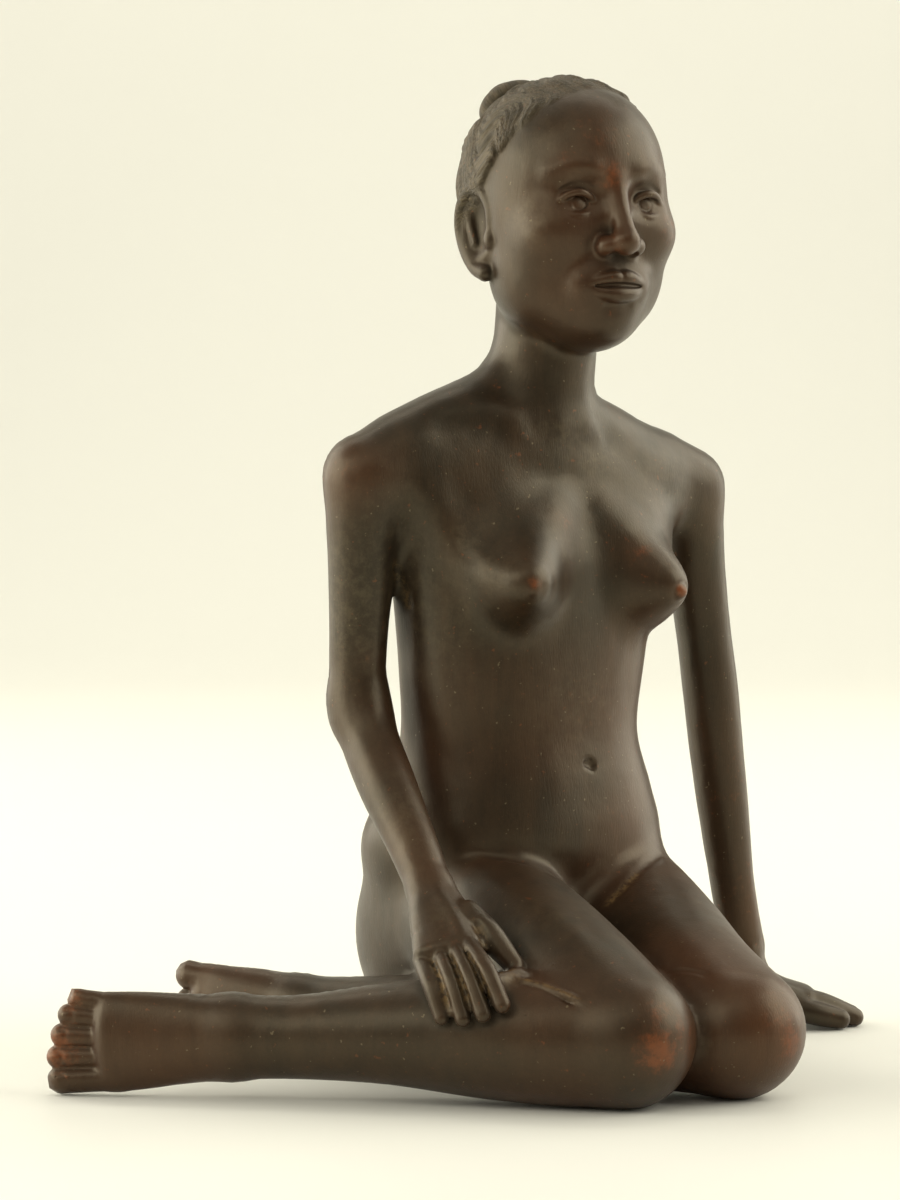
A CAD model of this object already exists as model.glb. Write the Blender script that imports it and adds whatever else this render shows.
import math

import bmesh
import bpy
import numpy as np
from mathutils import Matrix, Vector


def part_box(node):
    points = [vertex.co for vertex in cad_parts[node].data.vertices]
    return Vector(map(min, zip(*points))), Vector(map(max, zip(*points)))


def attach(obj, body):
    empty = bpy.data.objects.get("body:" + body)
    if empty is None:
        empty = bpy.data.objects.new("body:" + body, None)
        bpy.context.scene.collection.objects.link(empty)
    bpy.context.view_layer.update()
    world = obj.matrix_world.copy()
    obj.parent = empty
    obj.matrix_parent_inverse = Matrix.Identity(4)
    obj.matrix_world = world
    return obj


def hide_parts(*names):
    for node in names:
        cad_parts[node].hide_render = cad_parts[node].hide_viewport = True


# A seated woman carved from one block of dark wood, side-sitting with both lower legs folded
# back to her right, her left hand on the ground and her right hand hanging over her calf.
# She is modelled in millimetres from the point on the ground under her pelvis: she faces -Y,
# her left is +X and Z is up. Her mesh is moved onto the CAD solid and turned into metres.
MM = 0.001

# Cells of the carved surface, as counts of the smallest: plain skin, folds of the body, then
# face, hair, fingers and toes. The smallest cell itself is for the eyes and the lips.
CELL = 0.285
CELL_SIZES = [32, 16, 8, 4, 2, 1]
PLAIN_SIZE, MEDIUM_SIZE, SMALL_SIZE, FINE_SIZE = 8, 4, 2, 1
# A cell is looked into where the surface passes within this many of its sides from its middle.
NEARNESS = 1.7
# How the points are moved onto the surface: rounds, the longest step, the reach of the probe
# that feels the slope, and the least slope that is divided by.
SNAP_ROUNDS = 2
SNAP_STEP = 0.3
PROBE = 0.12
LEAST_SLOPE = 0.05
# Steps of a curve between two of its stations.
LIMB_STEPS, TRUNK_STEPS, STROKE_STEPS = 5, 8, 4
# Keeps a division possible where a length is nothing.
TINY = 1e-6
# How wide the edge between the figure and its flat underside is rounded.
GROUND_EDGE = 0.8

# The ways that the half width of a limb lies along, and her right and left side as signs of x.
UP = (0, 0, 1)
SIDEWAYS = (1, 0, 0)
FORWARD_SIDE = (-1, 0, 0)
BACKWARD = (0, 1, 0)
BOTH = (-1, 1)

# Body stations: x, y, z, half width, then half depth to the front and to the back, which
# follow the half width where they are left out.
TORSO = [
    (4.6, -2, 15, 34, 24, 27),
    (5.6, -3, 30, 35.6, 25, 30),
    (5.6, -4.5, 45, 37.6, 28.5, 30.5),
    (6, -5.5, 58, 39.2, 31, 28),
    (5.7, -7.5, 70, 35.7, 28, 25),
    (4.6, -9, 84, 32.4, 24.5, 22),
    (5.2, -9.5, 100, 34, 23.5, 22),
    (6.2, -9.5, 115, 36.4, 23, 22.5),
    (8, -9, 130, 40, 22, 22),
    (9, -8.5, 143, 43, 18.8, 20),
    (9.5, -8.5, 151, 40, 16.4, 16),
    (9.5, -9.5, 158, 28, 13.4, 14),
]
TORSO_SQUARENESS = 2.2
SHOULDERS = [
    (-41, -6.5, 151, 9.4, 9.4, 9.4),
    (-32.5, -7.5, 153.4, 11, 10.5, 11),
    (-16, -8.5, 158, 12, 10.8, 13),
    (6, -9.5, 158, 12, 11, 14),
    (27, -9, 152, 11, 11, 13),
    (46, -8.5, 151, 11, 10.5, 11),
    (59.6, -8, 146.3, 9, 9, 9),
]
TRAPEZIUS_RIGHT = [(4, -9, 176, 6), (-11, -8, 164.6, 6.6), (-29, -7, 155.8, 7)]
NECK = [
    (7, -10, 157, 14.8, 14, 15),
    (8.4, -11.5, 166, 13.6, 13.5, 14.5),
    (9.4, -12.5, 174, 13.4, 13.5, 14),
    (10, -13.5, 184, 13, 13.5, 14),
    (11, -14, 196, 13.4, 13.5, 14),
]
UPPER_ARM_RIGHT = [
    (-41, -6.5, 148, 8.8),
    (-41.5, -6, 141, 9),
    (-41.2, -5, 128, 8.2),
    (-41, -4, 114, 7.5),
    (-40.8, -3, 100, 7.1),
    (-40.2, -3, 90, 7),
]
FOREARM_RIGHT = [
    (-40.4, -2.6, 93, 6.8),
    (-40.8, -9, 83, 7.3),
    (-42, -19, 72, 7.2),
    (-43.4, -31, 60, 6.2),
    (-45, -41, 50, 5.8, 5.2),
]
ARM_LEFT = [
    (59.8, -8, 145.6, 8.8),
    (61.6, -7.5, 137, 8.9),
    (64.7, -6, 125, 7.9),
    (68.2, -5, 108, 7.3),
    (70.7, -5, 92, 7.4),
    (72.8, -5, 76, 7.2),
    (75.2, -5, 60, 6.8),
    (78, -5, 42, 6),
    (80.2, -5, 31, 5.8),
    (82.4, -5, 22.5, 6, 5.2),
]
THIGH_RIGHT = [
    (-10, 4, 37, 20),
    (-14, -18, 37, 20.5),
    (-17.5, -42, 32, 20),
    (-19, -66, 24.5, 18.5),
    (-19, -86, 17, 16.4),
]
THIGH_LEFT = [
    (23.6, 4, 40.4, 21, 16.5),
    (23.2, -20, 39.4, 20.6, 15.5),
    (19.2, -44, 31.6, 20, 15),
    (14.8, -68, 23, 18, 17),
    (12.7, -89, 16.3, 16.3),
]
THIGH_LEFT_TILT = (0.85, 0, 0.53)
LOWER_LEG_RIGHT = [
    (-19, -86, 16.5, 16, 14),
    (-29, -77, 16.2, 16, 14.5),
    (-44, -62, 16.6, 15, 14),
    (-60, -46, 16.5, 12.3, 11.5),
    (-76, -31, 15.2, 10.2, 9),
    (-88, -19.5, 14.8, 10.3, 8),
]
FOOT_RIGHT = [
    (-88, -19.5, 14.8, 10.3, 8),
    (-97, -12, 14.3, 11, 6.5),
    (-106, -4.5, 13.6, 12, 5.5),
    (-111, -0.5, 13.2, 12.2, 4.8),
]
LOWER_LEG_LEFT = [
    (11, -88, 15.5, 15.5, 14),
    (0, -72, 15, 14, 13),
    (-16, -47, 14, 12.5, 13),
    (-31, -22, 13.6, 12, 11.5),
    (-44, 0, 13.8, 9.8, 9),
    (-50, 10, 14, 9.2, 7.5),
]
FOOT_LEFT = [
    (-50, 10, 14, 9.2, 7.5),
    (-56, 19, 14.4, 10, 6.5),
    (-61, 26, 13.8, 11, 5.5),
    (-64, 31, 13.6, 11.4, 4.8),
]
# Toes from the one on the ground up: height of the tip, radius, reach.
TOES_RIGHT = [(3.6, 3.5, 18.5), (9.3, 2.9, 18.6), (14.6, 2.9, 17.6), (19.6, 2.7, 15.8), (24, 2.3, 13.6)]
TOES_LEFT = [(2.6, 2.6, 9), (6.4, 2.5, 10.5), (10.8, 2.6, 11.8), (15.6, 2.7, 12.4), (21.8, 3.8, 12.6)]
# Where each row of toes starts and points, and how high a toe's root is, from its tip's height.
TOE_ROOT_RIGHT, TOE_WAY_RIGHT = (-109, -2), (-0.74, 0.67)
TOE_ROOT_LEFT, TOE_WAY_LEFT = (-62, 28), (-0.53, 0.85)
TOE_ROOT_SHARE, TOE_ROOT_LIFT = 0.88, 1.5
# A nail's place, length and half width as shares of the toe's radius, how far its root bows
# back, and the width and depth of the lines round it.
NAIL_PLACE, NAIL_LENGTH, NAIL_HALF = 0.9, 0.7, 0.62
NAIL_BOW = 1.2
NAIL_ROOT_LINE, NAIL_SIDE_LINE = (0.5, 0.3), (0.45, 0.22)

WRIST_RIGHT = (-45, -41, 50)
KNUCKLES_RIGHT = (-50.2, -57.7, 37.7)
# Fingers of the right hand, little finger first: root, middle, tip, radius.
FINGERS_RIGHT = [
    ((-57, -54.6, 35), (-59.3, -61.9, 30.2), (-59.4, -66.4, 22.8), 2.1),
    ((-53.9, -57.5, 36.6), (-55.9, -65.4, 31.3), (-56.1, -70.6, 22.8), 2.3),
    ((-51, -60.1, 37.4), (-52.8, -68.4, 32.3), (-52.8, -74.1, 24.1), 2.4),
    ((-48.3, -62, 38.3), (-49.6, -70.7, 33.9), (-49.1, -76.7, 26.3), 2.4),
]
BACK_OF_HAND = (-0.41, -0.6, 0.69)
ACROSS_RIGHT_HAND = (0.82, -0.57, 0)
WEB = [(-46.4, -70.6, 30.7), (-39.6, -69.6, 31.6)]
THUMB_RIGHT = [(-42.4, -53.3, 45.4, 3), (-40.6, -59.5, 40.3, 3.4), (-38, -66.2, 33.6, 2.5)]
PALM_LEFT = [
    (82.4, -5, 20, 6.2, 4.6),
    (85.6, -6, 13.4, 7.6, 4.6),
    (90.6, -7.8, 9.6, 8.6, 4.6),
    (97.4, -10.5, 7.2, 8.8, 4.4),
]
KNUCKLES_LEFT = (97, -10.3, 6.8)
ACROSS_LEFT_HAND, ALONG_LEFT_HAND = (0.3, 0.95, 0), (0.95, -0.3, 0)
# Fingers of the left hand, little finger first: offset across the palm, reach, radius.
FINGERS_LEFT = [(6.2, 12.2, 2.3), (2.3, 15.8, 2.6), (-1.8, 17.4, 2.8), (-5.9, 16.6, 2.7)]
THUMB_LEFT = [(89, -13, 7, 3.4), (94.6, -18.8, 4.8, 3.2), (101.6, -22.5, 2.8, 2.7)]

# Breasts: root and tip of each, and the radii from the one to the other.
BREASTS = [((-7, -20, 127.5), (-13.6, -38.5, 123)), ((27.5, -20, 126.5), (31.8, -37, 121.2))]
BREAST_RADII = [17.5, 14.6, 10.4, 6, 3.3]
# The fullest part: its share of the way from the tip to the root, how much lower it is, and
# its half sizes.
BREAST_FULL_SHARE, BREAST_DROP = 0.56, 3.3
BREAST_FULL_SIZE = (10.2, 10.8, 10.2)
# The nipple, and the ring cut round it: radius, how far it lies behind, width and depth.
NIPPLE_RADIUS, NIPPLE_RISE = 1.9, 0.1
RING_RADIUS, RING_BEHIND, RING_WIDTH, RING_DEPTH = 2.4, 0.3, 0.7, 0.45
# Soft edges that run down the breasts to the nipples: x, y, z and radius.
BREAST_EDGES = [
    [(-28, -16, 144, 3), (-22.6, -21.5, 132.6, 3.4), (-18, -31, 125.6, 3.6), (-15, -36.8, 123.8, 2.8)],
    [(5, -24.5, 142, 3), (-2, -28.6, 134.6, 3.4), (-8, -33.6, 128.8, 3.4), (-12.4, -36.8, 125, 2.8)],
    [(18, -25, 140, 3), (24.4, -29.6, 131.6, 3.4), (30, -34.6, 124.2, 2.8)],
]

# Rounds of the seat, left and right, and of the right hip: centre and half sizes.
SEAT = [((24, 9, 22), (20, 22, 22)), ((-10, 8, 31), (18.6, 22, 21))]
HIP_RIGHT = ((-13, -1, 55), (19.5, 19, 16))
# The lines down her back.
CLEFT = [(6.5, 27, 66), (6.3, 34, 48), (6, 34, 28), (6, 28, 12)]
SPINE = [(9, 8, 152), (8, 13, 132), (6.5, 12.5, 108), (5.5, 14, 84), (6, 24, 62)]

# The head in its own frame: x to her left, y to the back of the head, z up. It is turned to
# her right and lifted, in degrees. All of it is within reach of the middle of the skull.
HEAD_CENTRE = (12.8, -18.2, 218)
HEAD_TURN = -7
HEAD_LIFT = 3
HEAD_REACH = 38
SKULL_CENTRE = (0, 2, 6)
SKULL = (24.3, 28.5, 26)
HAIR = (25.3, 29.5, 26.6)
# The knot: its place and half sizes. Then the coil that it is wound from, where each pair is
# the measure at its start and how much that changes toward its end.
KNOT = (-3, 19.5, 25)
KNOT_SIZE = (8.4, 8.2, 7)
COIL_TURNS, COIL_STATIONS = 1.6, 15
COIL_WIDTH, COIL_NARROWS = 7.4, 4.6
COIL_HEIGHT, COIL_CLIMBS = 1.5, 5.6
COIL_RADIUS, COIL_THINS = 2.7, 0.9
# The hair's locks and strands: how many there are, how far they rise from the cap, and the
# power that rounds a lock. The cap lies this much under its half sizes.
LOCKS, LOCK_RISE, LOCK_ROUNDNESS = 21, 0.82, 0.7
STRANDS, STRAND_RISE = 88, 0.4
HAIR_SINK = 0.5
# The waves and the swellings of a lock, as degrees of the fall from the knot, and the sway of
# a wave.
WAVE, SWELL = 38, 34
SWAY = 0.1
# Degrees round the knot from the nape, and the fall from the knot to the hairline there. Then
# how ragged the locks make it, how wide it is rounded, and how wide it fades in the colour.
HAIRLINE = [(0, 85), (55, 92), (83, 93), (100, 88), (125, 84), (150, 80), (180, 77)]
HAIRLINE_RAGGED, HAIRLINE_EDGE, HAIRLINE_FADE = 2.2, 1.2, 4


def spread(stations, steps):
    """A smooth curve through the stations, every column eased alike."""
    rows = np.asarray(stations, float)
    padded = np.vstack([2 * rows[0] - rows[1], rows, 2 * rows[-1] - rows[-2]])
    curve = []
    for i in range(len(rows) - 1):
        p, q, r, s = padded[i : i + 4]
        for t in np.arange(steps) / steps:
            bend = 2 * p - 5 * q + 4 * r - s
            twist = 3 * q - p - 3 * r + s
            curve.append(0.5 * (2 * q + (r - p) * t + bend * t**2 + twist * t**3))
    curve.append(rows[-1])
    return np.array(curve)


def unit(way):
    return way / np.linalg.norm(way)


def ring(centre, radius, side, over):
    """A closed line round the centre, through eight points."""
    angles = [turn * math.pi / 4 for turn in range(9)]
    return [centre + radius * (side * math.cos(a) + over * math.sin(a)) for a in angles]


def soft_min(a, b, reach):
    """The smaller of the two, rounded off where they differ by less than the reach."""
    lap = np.maximum(reach - np.abs(a - b), 0)
    return np.minimum(a, b) - lap * lap / (4 * reach)


def section_distance(local, radii, n):
    """The distance to a rounded form with these half sizes. At n = 2 it is an ellipsoid."""
    scaled = np.abs(local) / radii
    near = (scaled**n).sum(1) ** (1 / n) + TINY
    slope = near ** (1 - n) * np.sqrt(((scaled ** (n - 1) / radii) ** 2).sum(1)) + TINY
    return (near - 1) / slope


def nearest_on(path, points):
    """The piece of the path nearest to each point, the share along it, and how far, squared."""
    closest = np.full(len(points), 1e30)
    piece = np.zeros(len(points), int)
    share = np.zeros(len(points))
    for i, step in enumerate(np.diff(path, axis=0)):
        rel = points - path[i]
        t = np.clip(rel @ step / (step @ step), 0, 1)
        rel -= t[:, None] * step
        far = np.einsum("ij,ij->i", rel, rel)
        nearer = far < closest
        closest[nearer] = far[nearer]
        piece[nearer] = i
        share[nearer] = t[nearer]
    return piece, share, closest


class Ball:
    """An ellipsoid. The axes are rows, and the radii follow them."""

    def __init__(self, centre, radii, axes=None):
        self.centre = np.asarray(centre, float)
        self.radii = np.full(3, float(radii)) if np.ndim(radii) == 0 else np.asarray(radii, float)
        self.axes = np.eye(3) if axes is None else np.asarray(axes, float)
        self.low = self.centre - self.radii.max()
        self.high = self.centre + self.radii.max()

    def distance(self, points):
        local = (points - self.centre) @ self.axes.T
        near = np.sqrt(((local / self.radii) ** 2).sum(1)) + TINY
        slope = np.sqrt(((local / self.radii**2) ** 2).sum(1)) + TINY
        return near * (near - 1) / slope


class Limb:
    """A form through stations, with round ends. Its half width lies along side."""

    def __init__(self, stations, side):
        rows = []
        for row in stations:
            row = list(row) + [row[3]] * (5 - len(row))
            rows.append(row + [row[4]] * (6 - len(row)))
        curve = spread(rows, LIMB_STEPS)
        self.middle, self.sizes = curve[:, :3], curve[:, 3:]
        along = np.gradient(self.middle, axis=0)
        along /= np.linalg.norm(along, axis=1, keepdims=True)
        wide = np.asarray(side, float) - (along @ side)[:, None] * along
        wide /= np.linalg.norm(wide, axis=1, keepdims=True)
        self.frames = np.stack([wide, np.cross(along, wide), along], 1)
        first, last = self.sizes[0], self.sizes[-1]
        self.ends = (min(first[0], first[1]), min(last[0], last[1]))
        width = self.sizes.max(1)[:, None]
        self.low = (self.middle - width).min(0)
        self.high = (self.middle + width).max(0)

    def distance(self, points):
        piece, share, _ = nearest_on(self.middle, points)
        w = share[:, None]
        sizes = self.sizes[piece] * (1 - w) + self.sizes[piece + 1] * w
        frames = self.frames[piece] * (1 - w[:, :, None]) + self.frames[piece + 1] * w[:, :, None]
        rel = points - (self.middle[piece] * (1 - w) + self.middle[piece + 1] * w)
        local = np.einsum("ijk,ik->ij", frames, rel)
        depth = np.where(local[:, 1] > 0, sizes[:, 1], sizes[:, 2])
        end = np.where(piece + share < 0.5, self.ends[0], self.ends[1])
        return section_distance(local, np.stack([sizes[:, 0], depth, end], 1), 2.0)


class Trunk:
    """An upright form through level sections, with its axis eased between the stations."""

    def __init__(self, stations, squareness=2.0):
        curve = spread(stations, TRUNK_STEPS)
        self.curve = curve
        self.squareness = squareness
        self.ends = [min(curve[i, 3:]) for i in (0, -1)]
        width = curve[:, 3:].max()
        self.low = curve[:, :3].min(0) - width
        self.high = curve[:, :3].max(0) + width
        self.low[2], self.high[2] = curve[0, 2] - self.ends[0], curve[-1, 2] + self.ends[1]

    def distance(self, points):
        height = self.curve[:, 2]
        x, y, half, front, back = (
            np.interp(points[:, 2], height, self.curve[:, c]) for c in (0, 1, 3, 4, 5)
        )
        past = points[:, 2] - np.clip(points[:, 2], height[0], height[-1])
        depth = np.where(points[:, 1] < y, front, back)
        end = np.where(past < 0, self.ends[0], self.ends[1])
        local = np.stack([points[:, 0] - x, points[:, 1] - y, past], 1)
        return section_distance(local, np.stack([half, depth, end], 1), self.squareness)


class Stroke:
    """A line cut into the surface, or raised from it where the depth is negative."""

    REACH = 2.2

    def __init__(self, path, width, depth, fade=0.25):
        self.path = spread(path, STROKE_STEPS) if len(path) > 2 else np.asarray(path, float)
        self.width, self.depth, self.fade = width, depth, fade
        self.low = self.path.min(0) - self.REACH * width
        self.high = self.path.max(0) + self.REACH * width

    def strength(self, points):
        """How deep the line is at each point, as a share of its depth."""
        lengths = np.linalg.norm(np.diff(self.path, axis=0), axis=1)
        start = np.concatenate([[0], np.cumsum(lengths)])
        piece, share, closest = nearest_on(self.path, points)
        place = (start[piece] + share * lengths[piece]) / start[-1]
        ends = np.ones(len(points))
        if self.fade:
            ends = np.clip(np.minimum(place, 1 - place) / self.fade, 0, 1)
            ends = ends * ends * (3 - 2 * ends)
        return ends * np.exp(-closest / self.width**2)


class Form:
    """Forms joined, cut and carved in the order they are added, in a frame of their own."""

    # The distance far from every shape, and how far beyond its box a shape still counts.
    OUTSIDE = 30.0
    MARGIN = 9.0

    def __init__(self, place=(0, 0, 0), axes=None):
        self.place = np.asarray(place, float)
        self.axes = np.eye(3) if axes is None else np.asarray(axes, float)
        self.steps = []
        self.low, self.high = np.full(3, 1e9), np.full(3, -1e9)

    def add(self, kind, shape, reach=0.0):
        self.steps.append((kind, shape, reach))
        if kind != "join":
            return
        corners = np.array(np.meshgrid(*zip(shape.low, shape.high))).reshape(3, -1).T
        corners = corners @ self.axes + self.place
        self.low = np.minimum(self.low, corners.min(0))
        self.high = np.maximum(self.high, corners.max(0))

    def join(self, shape, reach=1.0):
        """Adds the shape. The seam is rounded over the reach."""
        self.add("join", shape, reach)

    def cut(self, shape, reach):
        """Takes the shape away. The edge is rounded over the reach."""
        self.add("cut", shape, reach)

    def carve(self, path, width, depth, fade=0.25):
        self.add("carve", Stroke(path, width, depth, fade))

    def distance(self, points):
        local = (points - self.place) @ self.axes.T
        out = np.full(len(points), self.OUTSIDE)
        for kind, shape, reach in self.steps:
            margin = 0 if kind == "carve" else max(self.MARGIN, reach + 2)
            inside = (local > shape.low - margin) & (local < shape.high + margin)
            where = np.flatnonzero(inside.all(1))
            if not len(where):
                continue
            near = local[where]
            if kind == "join":
                out[where] = soft_min(out[where], shape.distance(near), reach)
            elif kind == "cut":
                out[where] = -soft_min(-out[where], shape.distance(near), reach)
            else:
                out[where] += shape.depth * shape.strength(near)
        return out


class CombedHair:
    """A thin cap of hair, its wavy locks combed back from the hairline to the knot."""

    def __init__(self):
        self.cap = Ball(SKULL_CENTRE, HAIR)
        self.low, self.high = self.cap.low, self.cap.high
        self.axis = unit(np.array(KNOT, float) - SKULL_CENTRE)
        self.side = np.array([1.0, 0, 0])
        self.over = np.cross(self.side, self.axis)

    def polar(self, points):
        """The fall from the knot and the turn round it from the nape, in degrees and radians."""
        out = (points - SKULL_CENTRE) / np.array(HAIR)
        out /= np.linalg.norm(out, axis=1, keepdims=True) + 1e-9
        fall = np.degrees(np.arccos(np.clip(out @ self.axis, -1, 1)))
        turn = np.arctan2(out @ self.side, -(out @ self.over))
        return fall, turn

    def swept(self, points):
        """The turn of each point with the waves of its lock taken out, and its fall."""
        fall, turn = self.polar(points)
        phase = 2.4 * np.sin(2 * turn + 0.5) + 1.1 * np.sin(5 * turn)
        size = SWAY * (0.7 + 0.5 * np.sin(3 * turn + 2))
        sway = size * np.sin(2 * math.pi * fall / WAVE + phase) + 0.14 * np.sin(2 * turn)
        return turn + sway * np.clip(fall / 40, 0, 1), fall

    def distance(self, points):
        around, fall = self.swept(points)
        uneven = LOCKS * (around + 0.05 * np.sin(5 * around) + 0.03 * np.sin(11 * around + 1))
        lock = np.abs(np.sin(0.5 * uneven)) ** LOCK_ROUNDNESS
        which = np.floor(uneven / (2 * math.pi))
        swell = 0.5 + 0.5 * np.sin(2 * math.pi * fall / SWELL + 2.3 * which)
        strand = np.abs(np.sin(0.5 * STRANDS * around + 0.4 * np.sin(0.2 * fall + 3 * around)))
        spread_out = np.clip(np.sin(np.radians(fall)) * 1.5, 0, 1)
        rise = (LOCK_RISE * lock * (0.5 + 0.7 * swell) + STRAND_RISE * strand) * spread_out
        turn = np.degrees(np.abs(self.polar(points)[1]))
        limit = np.interp(turn, *zip(*HAIRLINE)) + HAIRLINE_RAGGED * (lock - 0.6)
        past = np.radians(fall - limit) * HAIR[0]
        body = self.cap.distance(points) - rise + HAIR_SINK
        return -soft_min(-body, -past, HAIRLINE_EDGE)

    def cover(self, points):
        """1 on the hair, 0 on the skin."""
        fall, turn = self.polar(points)
        limit = np.interp(np.degrees(np.abs(turn)), *zip(*HAIRLINE))
        return np.clip(0.5 - (fall - limit) / HAIRLINE_FADE, 0, 1)


def turned(about_z=0.0, about_x=0.0):
    """Axes, as rows, turned about x and then z, in degrees."""
    turn = Matrix.Rotation(math.radians(about_z), 3, "Z")
    lift = Matrix.Rotation(math.radians(about_x), 3, "X")
    return np.array((turn @ lift).transposed())


def mirrored(path, s):
    return [(s * row[0], *row[1:]) for row in path]


def eye(head, s):
    head.cut(Ball((9.8 * s, -28.6, 0), (7.6, 5.2, 4.6)), 3.5)
    head.join(Ball((9.7 * s, -18.7, -1.8), 5), 0.4)
    upper = [
        (4.4, -22.8, -3, 0.6),
        (6.6, -24, -0.4, 0.9),
        (9.8, -24.5, 0.9, 1),
        (13, -23.2, 0.1, 0.9),
        (15.6, -20.4, -2.7, 0.6),
    ]
    lower = [
        (4.4, -22.8, -3.1, 0.5),
        (7, -23.8, -4.2, 0.7),
        (9.8, -24.2, -4.9, 0.8),
        (12.8, -22.9, -4.5, 0.7),
        (15.5, -20.4, -2.9, 0.5),
    ]
    head.join(Limb(mirrored(upper, s), BACKWARD), 0.6)
    head.join(Limb(mirrored(lower, s), BACKWARD), 0.6)
    crease = [(4.8, -24, 1.4), (9.8, -24.8, 3), (15.8, -20.4, 0.8)]
    head.carve(mirrored(crease, s), 0.7, 0.5)
    iris = ring(np.array([9.5 * s, -23.6, -1.5]), 1.9, np.array([s, 0, 0]), np.array(UP))
    head.carve(iris, 0.32, 0.3, 0)
    brow = [(3, -26, 5), (8.4, -26, 7.6), (13.6, -23.4, 7.4), (18.6, -17.6, 4.4)]
    head.carve(mirrored(brow, s), 2.6, -0.9)


def nose(head):
    bridge = [
        (0, -24.4, 3.4, 2.2),
        (0, -26.4, -1.4, 2.1),
        (0, -28.4, -6.6, 2.4),
        (0, -30, -10.9, 2.8),
    ]
    head.join(Limb(bridge, SIDEWAYS), 3)
    head.join(Ball((0, -29.2, -11.9), (3.6, 3.5, 3.2)), 1.6)
    for s in BOTH:
        head.join(Ball((4.3 * s, -26.4, -12.5), (2.4, 3.4, 2.5)), 1.8)
        head.carve([(6.6 * s, -27, -9.8), (7.6 * s, -25.4, -12), (6.8 * s, -24.6, -15.2)], 1, 0.3)
        head.cut(Ball((2.7 * s, -28, -15.2), (1.4, 2, 1.4)), 0.5)
    head.carve([(0, -26.4, -15.6), (0, -26.6, -20)], 1, 0.3, 0.5)


def mouth(head):
    head.join(Ball((0, -21, -21.5), (10.6, 5.4, 6.8)), 4)
    upper = [
        (-9.4, -22, -22, 0.6),
        (-5.4, -24.8, -20.9, 1.5),
        (-2, -26.1, -20.3, 1.9),
        (0, -26.1, -20.6, 1.8),
        (2, -26.1, -20.3, 1.9),
        (5.4, -24.8, -20.9, 1.5),
        (9.4, -22, -22, 0.6),
    ]
    lower = [
        (-8.4, -22.2, -22.5, 0.6),
        (-4.4, -24.7, -23.9, 1.8),
        (0, -25.6, -24.4, 2.3),
        (4.4, -24.7, -23.9, 1.8),
        (8.4, -22.2, -22.5, 0.6),
    ]
    head.join(Limb(upper, BACKWARD), 0.6)
    head.join(Limb(lower, BACKWARD), 0.6)
    parting = [
        (-10, -22.2, -22),
        (-4.8, -25.7, -22.3),
        (0, -27.2, -22.1),
        (4.8, -25.7, -22.3),
        (10, -22.2, -22),
    ]
    head.carve(parting, 0.5, 0.8)
    head.carve([(-5, -24, -27.4), (0, -25, -28), (5, -24, -27.4)], 1.7, 0.6)


def ear(head, s):
    axes = turned(about_z=-16 * s)
    head.join(Ball((23.2 * s, 3.4, -7), (2.8, 6.4, 10.6), axes), 1.5)
    head.cut(Ball((26.4 * s, 1.4, -6), (3.7, 5, 8.2), axes), 1)
    rim = [
        (23.2, -2.4, -6.4, 1.2),
        (23.6, -2.9, -1.4, 1.4),
        (24.2, -0.6, 2.8, 1.6),
        (25, 3.6, 3.8, 1.6),
        (25.7, 7.6, 0.6, 1.6),
        (25.8, 8.8, -5, 1.6),
        (25.2, 7.4, -11, 1.7),
        (24.4, 4, -15.6, 1.9),
        (23.5, 0.4, -17.4, 2.2),
    ]
    head.join(Limb(mirrored(rim, s), SIDEWAYS), 0.8)
    inner = [(24.4, 5.6, -0.6, 0.8), (24.6, 5.4, -5, 1), (24.2, 4, -9.6, 0.9)]
    head.join(Limb(mirrored(inner, s), SIDEWAYS), 0.7)
    head.join(Ball((23.4 * s, -2.2, -9), (1.6, 1.8, 2.6)), 0.8)


def knot(head):
    """The knot of hair: a bun wound from a coil that overlaps itself."""
    middle = np.array(KNOT, float)
    head.join(Ball(middle, KNOT_SIZE), 1.2)
    out = unit(middle - SKULL_CENTRE)
    side = np.array([1.0, 0, 0])
    over = np.cross(side, out)
    coil = []
    for i in range(COIL_STATIONS):
        share = i / (COIL_STATIONS - 1)
        angle = 2 * math.pi * COIL_TURNS * share + 0.6
        width = COIL_WIDTH - COIL_NARROWS * share
        place = middle + out * (COIL_HEIGHT + COIL_CLIMBS * share)
        place = place + width * (side * math.cos(angle) + over * math.sin(angle))
        coil.append((*place, COIL_RADIUS - COIL_THINS * share))
    head.join(Limb(coil, out), 0.8)


def woman_head():
    head = Form(HEAD_CENTRE, turned(HEAD_TURN, -HEAD_LIFT))
    head.join(Ball(SKULL_CENTRE, SKULL))
    head.join(Ball((0, -6, -8), (22.5, 19, 28)), 8)
    head.join(Ball((0, -12.6, -27.5), (10.5, 9.8, 8.6)), 9)
    for s in BOTH:
        head.join(Ball((14 * s, -3, -20), (6.5, 10, 9)), 8)
        head.join(Ball((13.6 * s, -16.4, -8.6), (6.6, 6.4, 5.6)), 7)
    head.join(Ball((0, -10.6, 12), (15.6, 13.6, 13.4)), 8)
    for s in BOTH:
        eye(head, s)
    nose(head)
    mouth(head)
    head.join(Ball((0, -18.4, -30), (5.6, 5, 4.6)), 5)
    for s in BOTH:
        ear(head, s)
    head.join(CombedHair(), 0.6)
    knot(head)
    return head


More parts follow.
